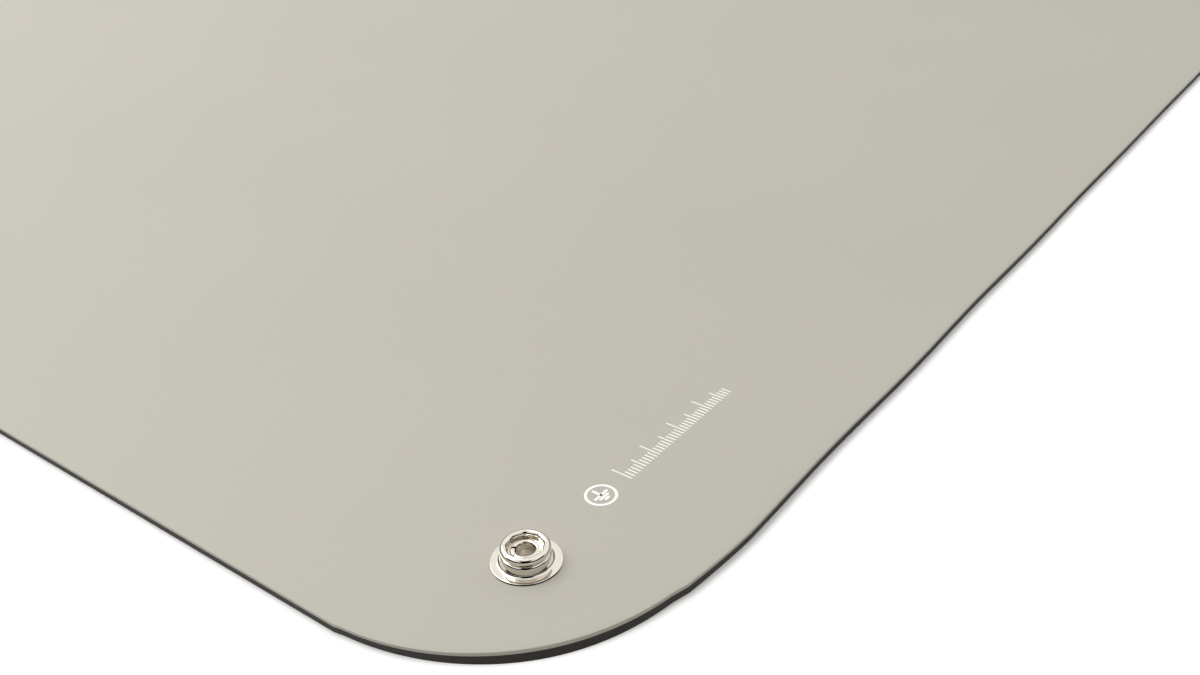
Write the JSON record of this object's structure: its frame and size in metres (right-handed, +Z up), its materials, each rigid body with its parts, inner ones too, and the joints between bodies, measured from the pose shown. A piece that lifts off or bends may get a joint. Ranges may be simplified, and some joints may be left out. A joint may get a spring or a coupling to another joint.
{
  "type": "anti-static bench mat",
  "caption": "Flat layered rubber bench mat with rounded corners and press studs near its front corners, which take the socket of a grounding cord.",
  "frame": {"origin": "centre of the mat's underside, on the surface that it lies on", "axes": "+X along the front edge, +Y from the front edge to the back edge, +Z up"},
  "size_m": [1.2, 0.6, 0.0061],
  "materials": {
    "dissipative_rubber": "matte",
    "conductive_rubber": "matte",
    "nickel_plate": "polished"
  },
  "bodies": {
    "root": {"dissipative_top_layer": "dissipative_rubber", "conductive_base_layer": "conductive_rubber", "press_stud_left": "nickel_plate", "press_stud_right": "nickel_plate", "eyelet_left": "nickel_plate", "eyelet_right": "nickel_plate"}
  },
  "joints": []
}
